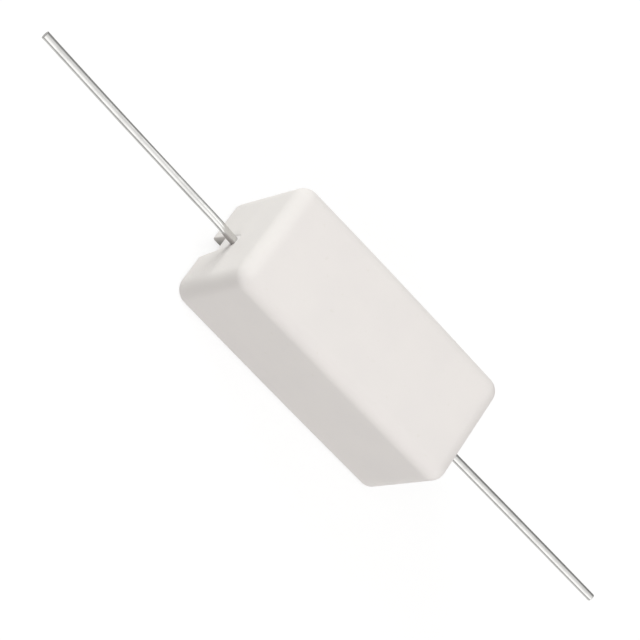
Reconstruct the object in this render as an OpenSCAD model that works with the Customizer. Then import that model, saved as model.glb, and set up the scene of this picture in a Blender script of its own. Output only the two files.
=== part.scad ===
// Wirewound resistor in a pressed ceramic case, with an axial wire lead at each end.
// The case is a trough, set down here on its open side. The wound element hangs in it by its leads,
// which lie in a notch in each end wall, and cement fills the rest.
// Frame: +X along the leads, +Z up, origin in the middle of the open side.

/* [Case] */
// Length of the case over its end walls
case_l = 22; // [18:0.5:30]
// Width of the case over its side walls
case_w = 9.55; // [8.6:0.05:14]
// Height of the case, from its open side to its roof
case_h = 9; // [8.4:0.1:12]
// Radius of the outer edges and corners
edge_r = 1.2; // [0.5:0.1:1.8]
// Radius of the outer edge round the open side
rim_r = 0.3; // [0.1:0.05:0.4]
// Thickness of the two side walls
side_wall = 1.2; // [0.8:0.1:1.6]
// Thickness of the two end walls
end_wall = 1.6; // [1:0.1:2.2]
// Thickness of the roof
roof = 1.3; // [0.9:0.1:1.7]
// Radius of the cavity's edges and corners
cavity_r = 0.6; // [0.3:0.1:1]

/* [Notch] */
// Room that the notch's round root leaves round the lead
notch_room = 0.12; // [0.1:0.01:0.6]
// Angle by which each side of the notch leans outwards
notch_flare = 6.9; // [2:0.1:12]
// Distance of the left notch from the middle of its end wall, towards -Y
notch_left_shift = 0.33; // [0:0.01:0.6]
// Distance of the right notch from the middle of its end wall, towards +Y
notch_right_shift = 0.16; // [0:0.01:0.6]
// Gap kept between a lead and the wall of its notch
seat_gap = 0.05; // [0.02:0.01:0.1]

/* [Wound element] */
// Diameter of the rod that the wire is wound on
core_d = 4; // [3:0.1:4.6]
// Diameter of the resistance wire
wire_d = 0.3; // [0.15:0.05:0.4]
// Distance from one turn of the winding to the next
wire_pitch = 0.55; // [0.45:0.05:1.2]
// Thickness of the end caps' sheet metal
cap_wall = 0.3; // [0.2:0.05:0.5]
// Length of an end cap's skirt over the rod
skirt_l = 2.2; // [1.2:0.1:3]
// Outer bend radius between an end cap's skirt and its end
cap_bend = 0.5; // [0.2:0.1:0.9]
// Distance from an end cap to the inner face of the end wall
end_cover = 1.1; // [0.9:0.1:1.5]
// Distance from an end cap to the roof where its lead lies at the top of its notch
roof_cover = 1.161; // [0.5:0.001:1.3]
// Gap between the rod and the caps and winding on it
core_gap = 0.01; // [0.005:0.005:0.03]

/* [Leads] */
// Diameter of both leads
lead_d = 0.65; // [0.5:0.05:0.8]
// Length of the left lead outside the case
lead_left_l = 19.9; // [5:0.1:38]
// Length of the right lead outside the case
lead_right_l = 18.3; // [5:0.1:38]
// Place of the left lead round its notch's root: 90 is the top, 180 the side towards -Y
lead_left_seat = 200; // [60:5:200]
// Place of the right lead round its notch's root
lead_right_seat = 90; // [60:5:120]
// Angle between the case's length and the left lead, which is bent towards +Y where it leaves the case
lead_left_bend = 1.3; // [0:0.1:3]
// Angle between the case's length and the right lead, which is bent towards +Y as well
lead_right_bend = 0.8; // [0:0.1:3]
// Radius of the bead where a lead is welded to its end cap
bead_r = 0.55; // [0.45:0.05:0.8]

/* [Cement] */
// Depth of the cement's face inside the end wall's outer face
plug_recess = 0.05; // [0:0.05:0.3]
// Further depth to which the cement has slumped at the notch's mouth
slump_depth = 0.85; // [0.2:0.05:0.9]
// Height above the open side to which the slump reaches
slump_h = 1.35; // [1:0.05:3.2]
// Gap between the cement and what is cast into it
cast_gap = 0.01; // [0.005:0.005:0.03]

/* [Hidden] */

LEFT = -1;
RIGHT = 1;
$fn = 64;
// How far a cut runs past the face that it opens
over = 1;

cavity_l = case_l - 2 * end_wall;
cavity_w = case_w - 2 * side_wall;
cavity_h = case_h - roof;

cap_r = core_d / 2 + core_gap + cap_wall;
cap_l = cap_wall + skirt_l;

// A lead that touches the notch's root has its centre on a circle of radius seat_r about the root's centre
notch_r = lead_d / 2 + notch_room;
seat_r = notch_room - seat_gap;
seat_h = case_h - roof - roof_cover - cap_r;
notch_z = seat_h - seat_r;

// The middle of a side's notch across the end wall
function notch_y(side) = side == LEFT ? -notch_left_shift : notch_right_shift;

// Each lead leaves the case at its seat
function seat(side, angle) =
    [side * case_l / 2, notch_y(side) + seat_r * cos(angle), notch_z + seat_r * sin(angle)];
seat_left = seat(LEFT, lead_left_seat);
seat_right = seat(RIGHT, lead_right_seat);

// The wound element lies on the straight line between the two seats, so it is a little askew in the case
seat_span = seat_right - seat_left;
element_yaw = atan2(seat_span.y, seat_span.x);
element_pitch = asin(seat_span.z / norm(seat_span));
root_l = end_wall + end_cover;
element_l = norm(seat_span) - 2 * root_l;
core_l = element_l - 2 * (cap_wall + core_gap);

// A lead bulges very slightly where it is bent, and its two straight stretches meet inside the bulge
bend_r = lead_d / 2 + 0.01;
bend_step = 0.03;

// The winding is drawn with straight steps, so its radius keeps the middle of each step off the rod
turn_steps = 20;
wire_sides = 6;
wire_r = wire_d / 2;
winding_r = (core_d / 2 + core_gap + wire_r) / cos(180 / turn_steps);
winding_l = core_l - 2 * (skirt_l + core_gap) - wire_d;
turns = floor(winding_l / wire_pitch);
winding_steps = turns * turn_steps;

element_r = max(cap_r, winding_r + wire_r) + cast_gap;

// The slump is part of a cylinder across the notch, as deep as slump_depth at the open side
slump_r = (slump_h * slump_h + slump_depth * slump_depth) / (2 * slump_depth);

// Section of a block's edge, r wide: rounded by r above, and by low_r below where that is given
module edge_section(h, r, low_r = 0) {
    translate([0, low_r]) square([r, h - r - low_r]);
    if (low_r > 0) {
        square([r - low_r, h - r]);
        translate([r - low_r, low_r]) circle(low_r);
    }
    intersection() {
        translate([0, h - r]) circle(r);
        square([r, h]);
    }
}

// Section of a block w wide, with that edge on both sides
module block_section(w, h, r, low_r = 0) {
    straight_w = w - 2 * r;
    translate([-straight_w / 2, 0]) square([straight_w, h]);
    translate([straight_w / 2, 0]) edge_section(h, r, low_r);
    translate([-straight_w / 2, 0]) mirror([1, 0]) edge_section(h, r, low_r);
}

// A block on z = 0: its sections run along it and across it, and its edge is turned round the upright corners
module rounded_block(l, w, h, r, low_r = 0) {
    straight_l = l - 2 * r;
    straight_w = w - 2 * r;
    rotate([90, 0, 90]) linear_extrude(straight_l, center = true) block_section(w, h, r, low_r);
    rotate([90, 0, 0]) linear_extrude(straight_w, center = true) block_section(l, h, r, low_r);
    for (x = [-1, 1], y = [-1, 1])
        translate([x * straight_l / 2, y * straight_w / 2, 0]) rotate_extrude() edge_section(h, r, low_r);
}

// The cavity's shape, which the cement fills
module cavity(below = 0) {
    translate([0, 0, -below]) rounded_block(cavity_l, cavity_w, cavity_h + below, cavity_r);
}

// Cross-section of the notch: a round root, and sides that are tangent to it and lean outwards
module notch_section(below = 0) {
    mouth = notch_r / cos(notch_flare) + (notch_z + below) * tan(notch_flare);
    root = notch_r * [cos(notch_flare), sin(notch_flare)];
    translate([0, notch_z]) circle(notch_r);
    polygon([[-mouth, -below], [mouth, -below], [root.x, notch_z + root.y], [-root.x, notch_z + root.y]]);
}

// The notch's section run along X, from from_x to to_x towards the given side
module notch_run(side, from_x, to_x, below = 0) {
    translate([side == RIGHT ? from_x : -to_x, notch_y(side), 0])
        rotate([90, 0, 90]) linear_extrude(to_x - from_x) notch_section(below);
}

// Places what is modelled along X about the origin midway between the two seats
module in_element() {
    translate((seat_left + seat_right) / 2) rotate([0, -element_pitch, element_yaw]) children();
}

// The stretch of a lead inside the case, with the bead of its weld on the end cap; gap makes it thicker all round
module lead_root(side, gap = 0, beyond = 0) {
    rotate([0, 0, side == LEFT ? 0 : 180])
        translate([-element_l / 2, 0, 0]) {
            rotate([0, -90, 0]) cylinder(h = root_l + beyond, r = lead_d / 2 + gap);
            sphere(bead_r + gap);
        }
}

// A lead: its root, whose bead ends flat on the cap, then a slight bend, and the free length
module lead(side, at, bend, free_l) {
    in_element()
        difference() {
            lead_root(side, 0, -bend_step);
            translate([side * (element_l / 2 - bead_r), 0, 0])
                cube([2 * bead_r, 3 * bead_r, 3 * bead_r], center = true);
        }
    translate(at) {
        rotate([0, 0, 90]) sphere(bend_r);
        rotate([0, 90, side == LEFT ? 180 - bend : bend])
            translate([0, 0, bend_step]) cylinder(h = free_l / cos(bend) - bend_step, r = lead_d / 2);
    }
}

// A drawn cup, open towards the middle of the rod
module end_cap(side) {
    in_element()
        translate([side * element_l / 2, 0, 0]) rotate([0, -side * 90, 0])
            rotate_extrude()
                difference() {
                    union() {
                        square([cap_r - cap_bend, cap_l]);
                        translate([0, cap_bend]) square([cap_r, cap_l - cap_bend]);
                        translate([cap_r - cap_bend, cap_bend]) circle(cap_bend);
                    }
                    translate([0, cap_wall]) square([cap_r - cap_wall, cap_l]);
                    translate([-cap_r, -over]) square([cap_r, cap_l + 2 * over]);
                }
}

module ceramic_case() {
    color([0.92, 0.91, 0.89])
        difference() {
            rounded_block(case_l, case_w, case_h, edge_r, rim_r);
            cavity(over);
            for (side = [LEFT, RIGHT]) notch_run(side, cavity_l / 2 - cavity_r, case_l / 2 + over, over);
        }
}

module cement_fill() {
    color([0.93, 0.92, 0.90])
        difference() {
            union() {
                cavity();
                for (side = [LEFT, RIGHT]) notch_run(side, cavity_l / 2 - cavity_r, case_l / 2 - plug_recess);
            }
            in_element() rotate([0, 90, 0]) cylinder(h = element_l + 2 * cast_gap, r = element_r, center = true);
            in_element() lead_root(LEFT, cast_gap, over);
            in_element() lead_root(RIGHT, cast_gap, over);
            for (side = [LEFT, RIGHT])
                translate([side * (case_l / 2 - plug_recess - slump_depth + slump_r), 0, 0])
                    rotate([90, 0, 0]) cylinder(h = case_w, r = slump_r, center = true);
        }
}

module core_rod() {
    color([0.85, 0.80, 0.68])
        in_element() rotate([0, 90, 0]) cylinder(h = core_l, r = core_d / 2, center = true);
}

// Corner number j of the wire's cross-section at step i of the helix
function winding_point(i, j) =
    let (turn = 360 * i / turn_steps,
         corner = 360 * j / wire_sides,
         r = winding_r + wire_r * cos(corner))
    [winding_l * (i / winding_steps - 0.5) + wire_r * sin(corner), r * cos(turn), r * sin(turn)];

module resistance_winding() {
    points = [for (i = [0:winding_steps], j = [0:wire_sides - 1]) winding_point(i, j)];
    skin = [for (i = [0:winding_steps - 1], j = [0:wire_sides - 1])
        let (a = i * wire_sides + j, b = i * wire_sides + (j + 1) % wire_sides)
        [a, b, b + wire_sides, a + wire_sides]];
    start = [for (j = [wire_sides - 1:-1:0]) j];
    end = [for (j = [0:wire_sides - 1]) winding_steps * wire_sides + j];
    color([0.62, 0.60, 0.58])
        in_element() polyhedron(points, concat(skin, [start, end]), convexity = 10);
}

module end_cap_left() {
    color([0.72, 0.73, 0.74]) end_cap(LEFT);
}

module end_cap_right() {
    color([0.72, 0.73, 0.74]) end_cap(RIGHT);
}

module lead_left() {
    color([0.80, 0.80, 0.79]) lead(LEFT, seat_left, lead_left_bend, lead_left_l);
}

module lead_right() {
    color([0.80, 0.80, 0.79]) lead(RIGHT, seat_right, lead_right_bend, lead_right_l);
}

ceramic_case();
cement_fill();
core_rod();
resistance_winding();
end_cap_left();
end_cap_right();
lead_left();
lead_right();
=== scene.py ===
# Axial resistor: a wirewound element potted in a white ceramic case, with a tinned wire lead at each end.
# The file follows the part as it is put together: the view it is seen in, then the case, the element
# inside it, the two leads, and the cement that is poured round them.
import math

import bmesh
import bpy
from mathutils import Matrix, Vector


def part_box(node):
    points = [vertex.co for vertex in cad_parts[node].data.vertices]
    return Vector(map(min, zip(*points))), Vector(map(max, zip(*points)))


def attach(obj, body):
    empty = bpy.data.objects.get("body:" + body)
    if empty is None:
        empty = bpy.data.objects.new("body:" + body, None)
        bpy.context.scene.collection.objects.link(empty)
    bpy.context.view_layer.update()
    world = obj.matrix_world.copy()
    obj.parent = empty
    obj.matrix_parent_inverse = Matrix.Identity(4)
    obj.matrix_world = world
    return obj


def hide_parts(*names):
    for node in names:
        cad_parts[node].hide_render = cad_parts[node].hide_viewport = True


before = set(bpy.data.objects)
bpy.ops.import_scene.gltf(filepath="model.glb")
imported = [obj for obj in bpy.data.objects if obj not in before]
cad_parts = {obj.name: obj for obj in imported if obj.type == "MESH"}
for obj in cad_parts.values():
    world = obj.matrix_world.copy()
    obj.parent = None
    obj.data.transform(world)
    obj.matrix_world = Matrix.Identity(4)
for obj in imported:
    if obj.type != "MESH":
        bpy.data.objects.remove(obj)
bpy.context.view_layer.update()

MM = 0.001

# The view: a long lens above the near end, looking down along the case, as in a catalogue picture.
camera_data = bpy.data.cameras.new("camera")
camera_data.lens = 145.77
camera_data.clip_start = 0.01
camera_data.clip_end = 10
camera = bpy.data.objects.new("camera", camera_data)
camera.location = (-0.067065, -0.083626, 0.157151)
camera.rotation_euler = [math.radians(angle) for angle in (7.75886, -33.92135, 38.49274)]
bpy.context.scene.collection.objects.link(camera)
bpy.context.scene.camera = camera
bpy.context.scene.view_settings.view_transform = "Standard"


class Value:
    """A colour, vector or number in a node tree. Plain arithmetic on it adds the Math nodes."""

    def __init__(self, tree, port):
        self.tree = tree
        self.port = port

    def node(self, kind, settings, inputs, output=0):
        """Adds any other node: its type, its settings, then what its sockets are given."""
        made = self.tree.nodes.new(kind)
        for name, setting in settings.items():
            setattr(made, name, setting)
        for name, given in inputs.items():
            if isinstance(given, Value):
                self.tree.links.new(given.port, made.inputs[name])
            else:
                made.inputs[name].default_value = given
        return Value(self.tree, made.outputs[output] if made.outputs else None)

    def math(self, operation, *others):
        """A Math node on this and the other values."""
        return self.node("ShaderNodeMath", {"operation": operation}, dict(enumerate((self,) + others)))

    def __add__(self, other):
        return self.math("ADD", other)

    def __sub__(self, other):
        return self.math("SUBTRACT", other)

    def __mul__(self, other):
        return self.math("MULTIPLY", other)

    def __rsub__(self, other):
        return (self * -1) + other

    __radd__ = __add__
    __rmul__ = __mul__

    def between(self, low, high):
        """0 below low, 1 above high, and smooth in between."""
        return self.node("ShaderNodeMapRange", {"interpolation_type": "SMOOTHSTEP"},
                         {"Value": self, "From Min": low, "From Max": high})

    def axis(self, index):
        """One coordinate of a place: 0 for X, 1 for Y and 2 for Z."""
        return self.node("ShaderNodeSeparateXYZ", {}, {"Vector": self}, index)

    def mix(self, first, second):
        """The first colour where this is 0, and the second where it is 1."""
        return self.node("ShaderNodeMix", {"data_type": "RGBA"}, {0: self, 6: first, 7: second}, 2)


# The room: an even white sky, which the camera and the metal see as plain white.
def seen_directly(tree):
    """1 for what the camera, metal or glass looks at, and 0 for what only lights the part."""
    rays = tree.nodes.new("ShaderNodeLightPath")
    seen = Value(tree, rays.outputs["Is Camera Ray"])
    for name in ("Is Glossy Ray", "Is Transmission Ray"):
        seen = seen.math("MAXIMUM", Value(tree, rays.outputs[name]))
    return seen


world = bpy.data.worlds.new("sky")
bpy.context.scene.world = world
world.use_nodes = True
world.node_tree.nodes.clear()
seen = seen_directly(world.node_tree)
light = seen.node("ShaderNodeBackground", {}, {"Color": (1.0, 0.985, 0.97, 1), "Strength": 0.695})
white = seen.node("ShaderNodeBackground", {}, {"Color": (1, 1, 1, 1), "Strength": 1.0})
sky = seen.node("ShaderNodeMixShader", {}, {0: seen, 1: light, 2: white})
sky.node("ShaderNodeOutputWorld", {}, {"Surface": sky})

# The lamps: two soft squares of light, which the metal doesn't mirror. The stronger one stands low, beside
# the near end, and the other in front, so that the top and that end are bright and the front side isn't.
LAMP_SIZE = 0.3
LAMP_DISTANCE = 0.45


def soft_lamp(name, way, energy, colour):
    """A square of light that stands off along way and faces the part."""
    light_data = bpy.data.lights.new(name, "AREA")
    light_data.shape = "SQUARE"
    light_data.size = LAMP_SIZE
    light_data.energy = energy
    light_data.color = colour
    made = bpy.data.objects.new(name, light_data)
    made.location = way.normalized() * LAMP_DISTANCE
    made.rotation_euler = way.to_track_quat("Z", "Y").to_euler()
    made.visible_glossy = False
    bpy.context.scene.collection.objects.link(made)


soft_lamp("end_lamp", Vector((-0.80, 0.52, 0.24)), 1.27, (0.97, 1.0, 0.98))
soft_lamp("front_lamp", Vector((0.41, -0.81, 0.40)), 0.67, (1, 1, 1))

# The floor: paper that shows as white, with only the part's soft shadow on it, and that throws little light
# back on the part.
FLOOR_DROP = 0.02 * MM
bpy.ops.object.select_all(action="DESELECT")
bpy.ops.mesh.primitive_plane_add(size=4, location=(0, 0, -FLOOR_DROP))
floor = bpy.context.object
floor.name = floor.data.name = "floor"
bpy.ops.object.transform_apply(location=True, rotation=True, scale=True)
paper = bpy.data.materials.new("white paper")
paper.use_nodes = True
paper.node_tree.nodes.clear()
seen = seen_directly(paper.node_tree)
lit = seen.node("ShaderNodeBsdfDiffuse", {}, {"Color": (0.32, 0.32, 0.31, 1)})
shadow = seen.node("ShaderNodeBsdfDiffuse", {}, {"Color": (0.26, 0.26, 0.26, 1)})
glow = seen.node("ShaderNodeEmission", {}, {"Color": (1, 1, 1, 1), "Strength": 0.79})
plain = seen.node("ShaderNodeAddShader", {}, {0: shadow, 1: glow})
paper_face = seen.node("ShaderNodeMixShader", {}, {0: seen, 1: lit, 2: plain})
paper_face.node("ShaderNodeOutputMaterial", {}, {"Surface": paper_face})
floor.data.materials.append(paper)

# The boards: only the metal mirrors them, outside the picture, because a bright wire in a white room has no
# edges. Three stand behind, darker towards the floor, a bright strip hangs overhead, a wide bright one leans
# over the front, and two grey ones lie on the floor beside the wires.
def board(name, middle, size, lean, dim, bright):
    """A flat board along X, leaning about X, that shines from dim at its -Y or lower edge to bright."""
    bpy.ops.object.select_all(action="DESELECT")
    bpy.ops.mesh.primitive_grid_add(x_subdivisions=1, y_subdivisions=8, size=1)
    made = bpy.context.object
    made.name = made.data.name = name
    made.scale = (size[0], size[1], 1)
    made.rotation_euler.x = lean
    made.location = middle
    made.visible_camera = made.visible_diffuse = made.visible_shadow = False
    shine = bpy.data.materials.new(name)
    shine.use_nodes = True
    shine.node_tree.nodes.clear()
    own = shine.node_tree.nodes.new("ShaderNodeTexCoord")
    from_edge = Value(shine.node_tree, own.outputs["UV"]).axis(1)
    glow = from_edge.mix((dim, dim, dim, 1), (bright, bright, bright, 1))
    face = glow.node("ShaderNodeEmission", {}, {"Color": glow, "Strength": 1.0})
    face.node("ShaderNodeOutputMaterial", {}, {"Surface": face})
    made.data.materials.append(shine)


board("back_board_near", Vector((-104, 42, 48)) * MM, (0.2, 0.094), math.pi / 2, 0.21, 0.75)
board("back_board_middle", Vector((5, 42.5, 48)) * MM, (0.018, 0.094), math.pi / 2, 0.22, 1.7)
board("top_board", Vector((33, 8, 122)) * MM, (0.032, 0.09), 0, 1.55, 1.65)
board("back_board_far", Vector((114, 42, 48)) * MM, (0.2, 0.094), math.pi / 2, 0.14, 0.75)
board("front_board", Vector((20, -66, 76)) * MM, (0.4, 0.150), math.radians(41), 1.75, 0.9)
board("back_floor_board", Vector((10, 29, 0.2)) * MM, (0.4, 0.026), 0, 0.45, 0.2)
board("front_floor_board", Vector((10, -17.5, 0.2)) * MM, (0.4, 0.024), 0, 0.44, 0.46)

# Ceramic case: a trough pressed from white steatite powder and fired, so every edge is round, its long
# faces are a little fuller in the middle, and its skin is matt. A tapered notch in each end wall takes
# a lead. It lies on its open side.
CASE_ROUND = 1.2 * MM
RIM_ROUND = 0.3 * MM
SIDE_WALL = 1.2 * MM
END_WALL = 1.6 * MM
ROOF = 1.3 * MM
CAVITY_ROUND = 0.6 * MM
NOTCH_RADIUS = 0.445 * MM
NOTCH_CENTRE = 4.159 * MM
NOTCH_FLARE = math.radians(6.9)
NOTCH_PLACE = {-1: -0.33 * MM, 1: 0.16 * MM}
EDGE_SOFT = 0.09 * MM
FACE_GRID = 0.5 * MM
CREST = 0.12 * MM
ROOF_CREST = 0.6 * CREST
# Where the painted shade on the flanks of each notch lies: along, across and up.
NOTCH_SHADE_START = (9.45 * MM, 9.55 * MM)
NOTCH_SHADE_END = (10.3 * MM, 11 * MM)
NOTCH_SHADE_SIDE = (1.4 * MM, 1.5 * MM)
NOTCH_SHADE_TOP = (0.8 * MM, 2.8 * MM)
case_low, case_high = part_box("ceramic_case")
cavity_low = Vector((case_low.x + END_WALL, case_low.y + SIDE_WALL, 0))
cavity_high = Vector((case_high.x - END_WALL, case_high.y - SIDE_WALL, case_high.z - ROOF))


def start(piece):
    """Makes a piece the only one selected, and active."""
    bpy.ops.object.select_all(action="DESELECT")
    piece.select_set(True)
    bpy.context.view_layer.objects.active = piece


def settle(piece, name):
    """Names a new piece and puts its place into its mesh."""
    start(piece)
    bpy.ops.object.transform_apply(location=True, rotation=True, scale=True)
    piece.name = piece.data.name = name
    return piece


def block(name, low, high):
    """A box between two corners."""
    bpy.ops.object.select_all(action="DESELECT")
    bpy.ops.mesh.primitive_cube_add(size=1, location=(low + high) / 2, scale=high - low)
    return settle(bpy.context.object, name)


def pick(piece, kind, wanted):
    """Selects in edit mode the vertices or edges that wanted says yes to."""
    start(piece)
    bpy.ops.object.mode_set(mode="EDIT")
    bpy.ops.mesh.select_mode(type={"verts": "VERT", "edges": "EDGE"}[kind])
    bpy.ops.mesh.select_all(action="DESELECT")
    shape = bmesh.from_edit_mesh(piece.data)
    for element in getattr(shape, kind):
        if wanted(element):
            element.select_set(True)
    bmesh.update_edit_mesh(piece.data)


def round_edges(piece, wanted, radius, steps):
    """Rounds the edges that wanted says yes to."""
    pick(piece, "edges", wanted)
    bpy.ops.mesh.bevel(offset=radius, segments=steps, profile=0.5, affect="EDGES")
    bpy.ops.object.mode_set(mode="OBJECT")


def at_height(edge, height):
    """Whether an edge lies flat at a height."""
    return all(abs(corner.co.z - height) < 1e-6 for corner in edge.verts)


def combine(piece, tool, operation):
    """Cuts a tool out of a piece, or joins it to the piece, and clears the tool away."""
    start(piece)
    bpy.ops.object.modifier_add(type="BOOLEAN")
    change = piece.modifiers[-1]
    change.operation = operation
    change.solver = "EXACT"
    change.object = tool
    bpy.ops.object.modifier_apply(modifier=change.name)
    bpy.data.objects.remove(tool)


def notch_bar(name, end, bottom, near_x, far_x):
    """A bar along X with the notch's section: a round root, and sides that lean outwards below it."""
    middle = NOTCH_PLACE[end]
    bpy.ops.object.select_all(action="DESELECT")
    bpy.ops.mesh.primitive_circle_add(
        vertices=96, radius=NOTCH_RADIUS,
        location=(near_x, middle, NOTCH_CENTRE), rotation=(0, math.pi / 2, 0))
    bar = settle(bpy.context.object, name)
    foot = NOTCH_CENTRE + NOTCH_RADIUS * math.sin(NOTCH_FLARE)
    pick(bar, "verts", lambda corner: corner.co.z < foot - 1e-7)
    bpy.ops.mesh.delete(type="VERT")
    reach = NOTCH_RADIUS / math.cos(NOTCH_FLARE) + (NOTCH_CENTRE - bottom) * math.tan(NOTCH_FLARE)
    for side in (-1, 1):
        bpy.ops.mesh.select_all(action="DESELECT")
        shape = bmesh.from_edit_mesh(bar.data)
        for corner in shape.verts:
            corner.select_set(len(corner.link_edges) == 1 and (corner.co.y - middle) * side > 0)
        bmesh.update_edit_mesh(bar.data)
        foot_at = next(corner.co.copy() for corner in shape.verts if corner.select)
        bpy.ops.mesh.extrude_vertices_move(
            TRANSFORM_OT_translate={"value": (0, middle + side * reach - foot_at.y, bottom - foot_at.z)})
    bpy.ops.mesh.select_all(action="SELECT")
    bpy.ops.mesh.edge_face_add()
    bpy.ops.mesh.extrude_region_move(TRANSFORM_OT_translate={"value": (far_x - near_x, 0, 0)})
    bpy.ops.mesh.select_all(action="SELECT")
    bpy.ops.mesh.normals_make_consistent(inside=False)
    bpy.ops.object.mode_set(mode="OBJECT")
    return bar


def slice_up(piece, step, low, high):
    """Crosses the faces with evenly spaced cuts, so that they can swell."""
    start(piece)
    bpy.ops.object.mode_set(mode="EDIT")
    for axis in range(3):
        count = round((high[axis] - low[axis]) / step)
        way = [float(axis == other) for other in range(3)]
        for index in range(1, count):
            place = [0, 0, 0]
            place[axis] = low[axis] + (high[axis] - low[axis]) * index / count
            bpy.ops.mesh.select_all(action="SELECT")
            bpy.ops.mesh.bisect(plane_co=place, plane_no=way)
    bpy.ops.object.mode_set(mode="OBJECT")


def soften(piece, radius, steps, angle):
    """Rounds every edge that is sharper than the angle."""
    start(piece)
    bpy.ops.object.modifier_add(type="BEVEL")
    change = piece.modifiers[-1]
    change.width = radius
    change.segments = steps
    change.limit_method = "ANGLE"
    change.angle_limit = math.radians(angle)
    bpy.ops.object.modifier_apply(modifier=change.name)


def finish_piece(piece, slot, *stands_for):
    """Shades a piece smoothly, hangs it on the root body and hides the CAD parts that it stands for."""
    start(piece)
    bpy.ops.object.shade_smooth_by_angle(angle=math.radians(35))
    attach(piece, "root")
    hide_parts(*stands_for)


case = block("case_pressed", case_low, case_high)
round_edges(case, lambda edge: not at_height(edge, case_low.z), CASE_ROUND, 12)
round_edges(case, lambda edge: at_height(edge, case_low.z), RIM_ROUND, 5)
cavity = block("cavity", cavity_low - Vector((0, 0, MM)), cavity_high)
round_edges(cavity, lambda edge: not at_height(edge, cavity_low.z - MM), CAVITY_ROUND, 6)
combine(case, cavity, "DIFFERENCE")
for end in (-1, 1):
    reach = sorted((end * (cavity_high.x - CAVITY_ROUND), end * (case_high.x + MM)))
    combine(case, notch_bar("notch", end, -MM, *reach), "DIFFERENCE")
soften(case, EDGE_SOFT, 3, 40)
slice_up(case, FACE_GRID, case_low, case_high)

# The ends are drawn in a little, which leaves the long faces fuller in the middle.
bpy.ops.object.select_all(action="DESELECT")
bpy.ops.object.add(type="LATTICE", location=(case_low + case_high) / 2)
cage = bpy.context.object
cage.scale = case_high - case_low
cage.data.points_u, cage.data.points_v, cage.data.points_w = 5, 2, 2
cage.data.interpolation_type_v = cage.data.interpolation_type_w = "KEY_LINEAR"
for point in cage.data.points:
    fall = (2 * point.co.x) ** 2
    point.co_deform.y *= 1 - fall * CREST / cage.scale.y
    if point.co.z > 0:
        point.co_deform.z -= fall * ROOF_CREST / cage.scale.z
start(case)
bpy.ops.object.modifier_add(type="LATTICE")
case.modifiers[-1].object = cage
bpy.ops.object.modifier_apply(modifier=case.modifiers[-1].name)
bpy.data.objects.remove(cage)


def new_finish(name):
    """A material with one Principled shader, and the object's own coordinates to draw patterns with."""
    made = bpy.data.materials.new(name)
    made.use_nodes = True
    shader = made.node_tree.nodes["Principled BSDF"]
    coordinates = made.node_tree.nodes.new("ShaderNodeTexCoord")
    return made, shader, Value(made.node_tree, coordinates.outputs["Object"])


def noise(place, scale, detail=3.0, roughness=0.5):
    return place.node("ShaderNodeTexNoise", {}, {"Vector": place, "Scale": scale, "Detail": detail,
                                                 "Roughness": roughness})


def give(shader, socket, value):
    """Links a pattern to one of the shader's sockets, or sets a plain number there."""
    if isinstance(value, Value):
        value.tree.links.new(value.port, shader.inputs[socket])
    else:
        shader.inputs[socket].default_value = value


def relief(height, distance, strength):
    """Turns a pattern into a relief that is distance deep."""
    return height.node("ShaderNodeBump", {}, {"Height": height, "Distance": distance, "Strength": strength})


fired, shader, place = new_finish("fired white ceramic")
cloud = noise(place, 260, 2).between(0.3, 0.7)
grain = noise(place, 5200, 4, 0.6)
speck = noise(place, 1900, 2).between(0.66, 0.74)
body = cloud.mix((0.853, 0.820, 0.803, 1), (0.870, 0.836, 0.816, 1))
body = (speck * 0.35).mix(body, (0.80, 0.77, 0.72, 1))

# The flanks of each notch are darkened with painted shade, which fades out upwards.
along, across, up = [place.axis(index) for index in range(3)]
inward = along.math("ABSOLUTE")
notch_shade = inward.between(*NOTCH_SHADE_START) * (1 - inward.between(*NOTCH_SHADE_END))
notch_shade = notch_shade * (1 - across.math("ABSOLUTE").between(*NOTCH_SHADE_SIDE))
notch_shade = notch_shade * (1 - up.between(*NOTCH_SHADE_TOP)) * (0.8 + cloud * 0.2)
# The darker grey here is painted shade in the notch flanks, not a film on the ceramic.
give(shader, "Base Color", notch_shade.mix(body, (0.43, 0.42, 0.40, 1)))
give(shader, "Roughness", 0.52 + grain * 0.2)
give(shader, "Normal", relief(grain * 0.6 + noise(place, 900, 2) * 1.4, 0.012 * MM, 0.6))
case.data.materials.append(fired)
finish_piece(case, "case_ceramic", "ceramic_case")

# Rod: the round glass-fibre core of the wound element, pale yellow and matt, cut to length.
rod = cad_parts["core_rod"]
fibre, shader, place = new_finish("glass fibre rod")
strand = place.node("ShaderNodeMapping", {}, {"Vector": place, "Scale": (0.06, 1, 1)})
thread = noise(strand, 7000, 3)
give(shader, "Base Color", thread.between(0.3, 0.7).mix((0.62, 0.54, 0.36, 1), (0.74, 0.67, 0.50, 1)))
give(shader, "Roughness", 0.5 + thread * 0.25)
give(shader, "Normal", relief(thread, 0.02 * MM, 0.5))
rod.data.materials.clear()
rod.data.materials.append(fibre)

# Winding: resistance alloy wire, drawn bright and darkened a little by heat, wound in open turns.
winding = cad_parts["resistance_winding"]
alloy, shader, place = new_finish("resistance alloy wire")
heat = noise(place, 900, 3).between(0.35, 0.65)
give(shader, "Base Color", heat.mix((0.40, 0.37, 0.33, 1), (0.30, 0.27, 0.26, 1)))
give(shader, "Metallic", 1.0)
give(shader, "Roughness", 0.3 + heat * 0.15)
winding.data.materials.clear()
winding.data.materials.append(alloy)

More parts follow.
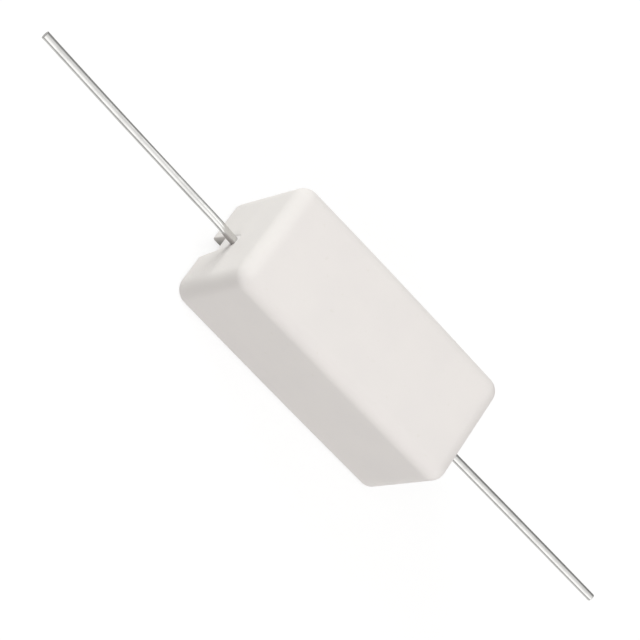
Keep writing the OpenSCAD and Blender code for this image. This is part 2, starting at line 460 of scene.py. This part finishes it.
# End caps: cups drawn from nickel-plated sheet steel and pressed on the rod, with the draw marks of the tool
# running round the skirt.
plated, shader, place = new_finish("nickel plated sheet")
drawn = place.node("ShaderNodeMapping", {}, {"Vector": place, "Scale": (1, 0.12, 0.12)})
marks = noise(drawn, 9000, 3)
stain = noise(place, 700, 3).between(0.4, 0.75)
give(shader, "Base Color", stain.mix((0.66, 0.65, 0.62, 1), (0.55, 0.53, 0.49, 1)))
give(shader, "Metallic", 1.0)
give(shader, "Roughness", 0.24 + marks * 0.2)
give(shader, "Normal", relief(marks, 0.006 * MM, 0.6))
for name in ("end_cap_left", "end_cap_right"):
    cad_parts[name].data.materials.clear()
    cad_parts[name].data.materials.append(plated)

# Leads: straight tinned copper wire, butt-welded to the end caps. Each leaves the case through its notch, is
# bent a degree or so there, and is cut off square by shears.
LEAD_RADIUS = 0.325 * MM
TIP_ROUND = 0.045 * MM
TIP_REACH = 0.06 * MM
WELD_DEPTH = 2.7 * MM
NEAR_BEND = math.radians(1.3)
NEAR_LENGTH = 19.9 * MM
NEAR_BOW = 0.05 * MM
NEAR_DIP = Vector((0, -0.05, -0.08)) * MM
FAR_BEND = math.radians(0.4)
FAR_LENGTH = 18.3 * MM
FAR_BOW = -0.02 * MM
DIP_REACH = 1.2 * MM
lead_wire, shader, place = new_finish("bright tinned wire")
drawn = place.node("ShaderNodeMapping", {}, {"Vector": place, "Scale": (0.03, 1, 1)})
lines = noise(drawn, 12000, 3, 0.6)
bloom = noise(place, 1100, 3).between(0.4, 0.7)
tin = bloom.mix((0.68, 0.675, 0.66, 1), (0.61, 0.605, 0.59, 1))

# The wire has a painted dark reflection on its low side where it leaves the case, and is rougher there; the
# faces that the shears left are dull.
along, across, up = [place.axis(index) for index in range(3)]
low_side = (across + 0.44 * MM) * -0.88 + (up - 4.06 * MM) * -0.47
by_case = 1 - along.math("ABSOLUTE").between(11.85 * MM, 12.25 * MM)
# A painted dark reflection of the shaded notch on the wire's low side, close to the case.
dull_painted_shade = low_side.between(-0.03 * MM, 0.10 * MM) * by_case
sheared = (along + 0.8 * MM).math("ABSOLUTE").between(30.05 * MM, 30.08 * MM)
tin = sheared.mix(dull_painted_shade.mix(tin, (0.39, 0.37, 0.36, 1)), (0.40, 0.39, 0.38, 1))
give(shader, "Base Color", tin)
give(shader, "Metallic", 1.0)
give(shader, "Roughness", 0.12 + bloom * 0.08 + lines * 0.06 + dull_painted_shade * 0.25 + sheared * 0.3)
give(shader, "Normal", relief(lines + noise(place, 2500, 2) * 0.8, 0.006 * MM, 0.5))


def wire(name, points, stands_for):
    """A round wire through the points, which run along X: rings of a cylinder, each moved to its point."""
    far = points[-1].x - points[0].x
    bpy.ops.object.select_all(action="DESELECT")
    bpy.ops.mesh.primitive_cylinder_add(
        vertices=48, radius=LEAD_RADIUS, depth=abs(far), end_fill_type="NGON",
        location=((points[0].x + points[-1].x) / 2, 0, 0), rotation=(0, math.pi / 2, 0))
    lead = settle(bpy.context.object, name)
    round_edges(lead, lambda edge: abs(edge.verts[0].co.x - edge.verts[1].co.x) < 1e-7
                and abs(edge.verts[0].co.x - points[-1].x) < 1e-6, TIP_ROUND, 3)
    start(lead)
    bpy.ops.object.mode_set(mode="EDIT")
    for point in points[1:-1]:
        bpy.ops.mesh.select_all(action="SELECT")
        bpy.ops.mesh.bisect(plane_co=(point.x, 0, 0), plane_no=(1, 0, 0))
    bpy.ops.object.mode_set(mode="OBJECT")
    for point in points:
        ring_reach = TIP_REACH if point is points[-1] else 1e-6
        pick(lead, "verts", lambda corner: abs(corner.co.x - point.x) < ring_reach)
        bpy.ops.transform.translate(value=(0, point.y, point.z))
        bpy.ops.object.mode_set(mode="OBJECT")
    lead.data.materials.append(lead_wire)
    finish_piece(lead, "tinned_wire", stands_for)


def lead_path(seat, inner, bend, length, bow, dip):
    """Straight from the weld to the seat, then out with a slight bow towards -Y and a dip at the seat."""
    side = 1 if seat.x > 0 else -1
    way = Vector((side * math.cos(bend), math.sin(bend), 0))
    inside = [inner.lerp(seat + dip, share) for share in (0, 0.33, 0.66, 0.97)]
    free = []
    for index in range(25):
        share = (index / 24) ** 1.5
        point = seat + way * length / math.cos(bend) * share
        point.y -= bow * 4 * share * (1 - share)
        point += dip * math.exp(-(length * share / DIP_REACH) ** 2)
        if index:
            free.append(point)
    return inside + free


seat_left = Vector((-11, -0.396, 4.135)) * MM
seat_right = Vector((11, 0.16, 4.229)) * MM
weld_way = (seat_right - seat_left).normalized() * WELD_DEPTH
near_path = lead_path(seat_left, seat_left + weld_way, NEAR_BEND, NEAR_LENGTH, NEAR_BOW, NEAR_DIP)
far_path = lead_path(seat_right, seat_right - weld_way, FAR_BEND, FAR_LENGTH, FAR_BOW, Vector())
wire("lead_near", near_path, "lead_left")
wire("lead_far", far_path, "lead_right")

# Cement: white mortar of silica and a little binder, poured in through the open side round the wound
# element, where it sets rough and a little sunk. It plugs both notches, has slumped at their
# mouths, and has an air hole beside the near lead.
PLUG_RECESS = 0.03 * MM
SLUMP = 1.1 * MM
SLUMP_HEIGHT = 2.25 * MM
SLUMP_WIDTH = 6 * MM
CEMENT_GRID = 0.45 * MM
AIR_HOLE_RADIUS = 0.15 * MM
AIR_HOLE_PLACE = Vector((-10.93, -0.77, 3.92)) * MM
cement = block("cement_cast", cavity_low, cavity_high)
round_edges(cement, lambda edge: not at_height(edge, cavity_low.z), CAVITY_ROUND, 6)
for end in (-1, 1):
    reach = sorted((end * (cavity_high.x - CAVITY_ROUND), end * (case_high.x - PLUG_RECESS)))
    combine(cement, notch_bar("plug", end, 0, *reach), "UNION")
slump_radius = (SLUMP_HEIGHT ** 2 + SLUMP ** 2) / (2 * SLUMP)
for end in (-1, 1):
    bpy.ops.object.select_all(action="DESELECT")
    bpy.ops.mesh.primitive_cylinder_add(
        vertices=160, radius=slump_radius, depth=SLUMP_WIDTH,
        location=(end * (case_high.x - PLUG_RECESS - SLUMP + slump_radius), 0, 0),
        rotation=(math.pi / 2, 0, 0))
    combine(cement, settle(bpy.context.object, "slump"), "DIFFERENCE")
bpy.ops.object.select_all(action="DESELECT")
bpy.ops.mesh.primitive_uv_sphere_add(
    segments=32, ring_count=16, radius=AIR_HOLE_RADIUS, scale=(2.4, 1, 1), location=AIR_HOLE_PLACE)
combine(cement, settle(bpy.context.object, "air_hole"), "DIFFERENCE")
slice_up(cement, CEMENT_GRID, cavity_low, cavity_high)

mortar, shader, place = new_finish("white potting cement")
cloud = noise(place, 420, 3).between(0.3, 0.7)
sand = noise(place, 7000, 4, 0.7)
pits = noise(place, 2600, 2).between(0.64, 0.72)
body = cloud.mix((0.90, 0.87, 0.865, 1), (0.94, 0.91, 0.905, 1))
body = (pits * 0.5).mix(body, (0.66, 0.64, 0.60, 1))
give(shader, "Base Color", body)
give(shader, "Roughness", 0.78 + sand * 0.15)
give(shader, "Normal", relief(sand + noise(place, 1500, 3) * 1.5 - pits * 1.5, 0.03 * MM, 0.8))
cement.data.materials.append(mortar)
finish_piece(cement, "potting_cement", "cement_fill")
